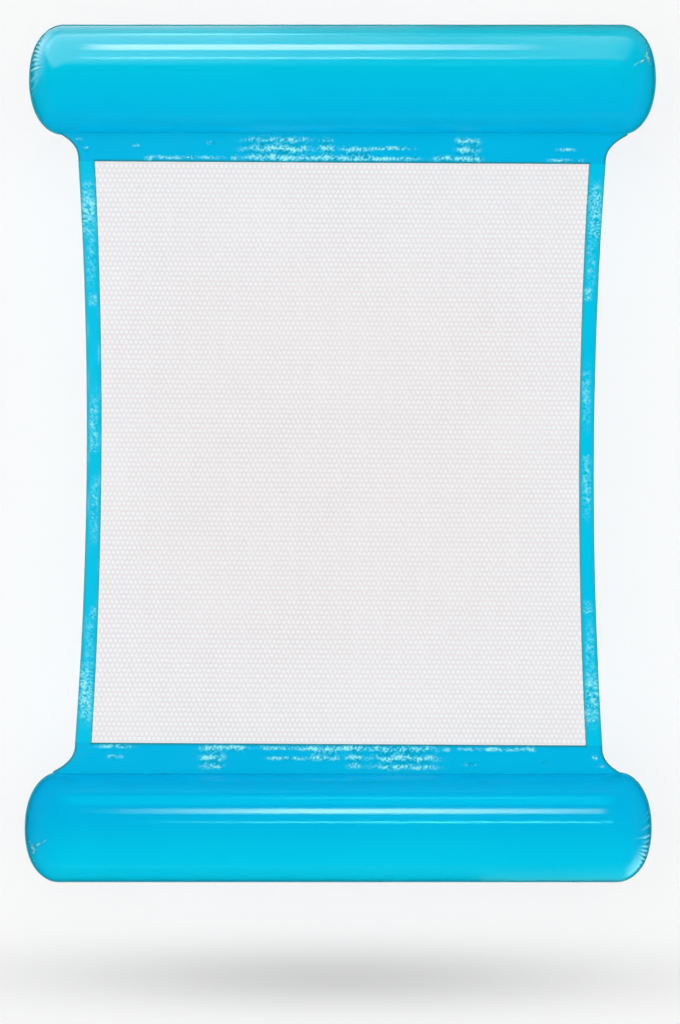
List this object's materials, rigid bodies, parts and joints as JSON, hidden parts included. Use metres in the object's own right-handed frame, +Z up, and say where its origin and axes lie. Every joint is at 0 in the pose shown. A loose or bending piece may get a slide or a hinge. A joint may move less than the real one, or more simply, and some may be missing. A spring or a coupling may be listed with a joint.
{
  "type": "pool air mattress",
  "caption": "Pool lounger with an air pillow at head and foot and a net panel between them, edged in film. Each pillow folds about its weld seam and is filled through a push-in valve.",
  "frame": {"origin": "middle of the mattress, on the floor that both pillows rest on", "axes": "+Z up, +Y towards the head pillow, +X to the right of someone who looks down with the head pillow at the top"},
  "size_m": [0.7686, 1.0548, 0.1318],
  "materials": {
    "chamber_film": "glossy cyan soft PVC film, blown up tight",
    "welded_film": "glossy cyan soft PVC film, with the print of the welded-in net",
    "net": "matt white knitted polyester net",
    "valve": "satin clear-white soft moulded PVC",
    "flap": "thin clear soft PVC"
  },
  "bodies": {
    "panel": {"net_panel": "net", "left_strip_front": "welded_film", "left_strip_back": "welded_film", "right_strip_front": "welded_film", "right_strip_back": "welded_film", "head_band_front": "welded_film", "head_band_back": "welded_film", "foot_band_front": "welded_film", "foot_band_back": "welded_film"},
    "head_pillow": {"head_pillow_top_film": "chamber_film", "head_pillow_bottom_film": "chamber_film", "head_valve_base": "valve"},
    "foot_pillow": {"foot_pillow_top_film": "chamber_film", "foot_pillow_bottom_film": "chamber_film", "foot_valve_base": "valve"},
    "head_neck": {"head_valve_neck": "valve", "head_valve_tether": "valve"},
    "foot_neck": {"foot_valve_neck": "valve", "foot_valve_tether": "valve"},
    "head_plug": {"head_valve_plug": "valve"},
    "foot_plug": {"foot_valve_plug": "valve"},
    "head_flap": {"head_valve_flap": "flap"},
    "foot_flap": {"foot_valve_flap": "flap"}
  },
  "joints": [
    {"name": "head_fold", "type": "hinge", "parent": "panel", "child": "head_pillow", "pos_m": [0, 0.386, 0.06592], "axis": [1, 0, 0], "range_deg": [-105, 105], "stiffness_Nm_per_rad": 0.8},
    {"name": "foot_fold", "type": "hinge", "parent": "panel", "child": "foot_pillow", "pos_m": [0, -0.386, 0.06592], "axis": [-1, 0, 0], "range_deg": [-105, 105], "stiffness_Nm_per_rad": 0.8},
    {"name": "head_neck_pull", "type": "slide", "parent": "head_pillow", "child": "head_neck", "axis": [0, 0.823, -0.5681], "range_m": [0, 0.0085]},
    {"name": "foot_neck_pull", "type": "slide", "parent": "foot_pillow", "child": "foot_neck", "axis": [0, -0.823, -0.5681], "range_m": [0, 0.0085]},
    {"name": "head_plug_pull", "type": "slide", "parent": "head_neck", "child": "head_plug", "axis": [0, 0.823, -0.5681], "range_m": [0, 0.009]},
    {"name": "foot_plug_pull", "type": "slide", "parent": "foot_neck", "child": "foot_plug", "axis": [0, -0.823, -0.5681], "range_m": [0, 0.009]},
    {"name": "head_flap_swing", "type": "hinge", "parent": "head_neck", "child": "head_flap", "pos_m": [0.215, 0.5054, 0.03885], "axis": [-1, 0, 0], "range_deg": [0, 40]},
    {"name": "foot_flap_swing", "type": "hinge", "parent": "foot_neck", "child": "foot_flap", "pos_m": [-0.215, -0.5054, 0.03885], "axis": [1, 0, 0], "range_deg": [0, 40]}
  ]
}
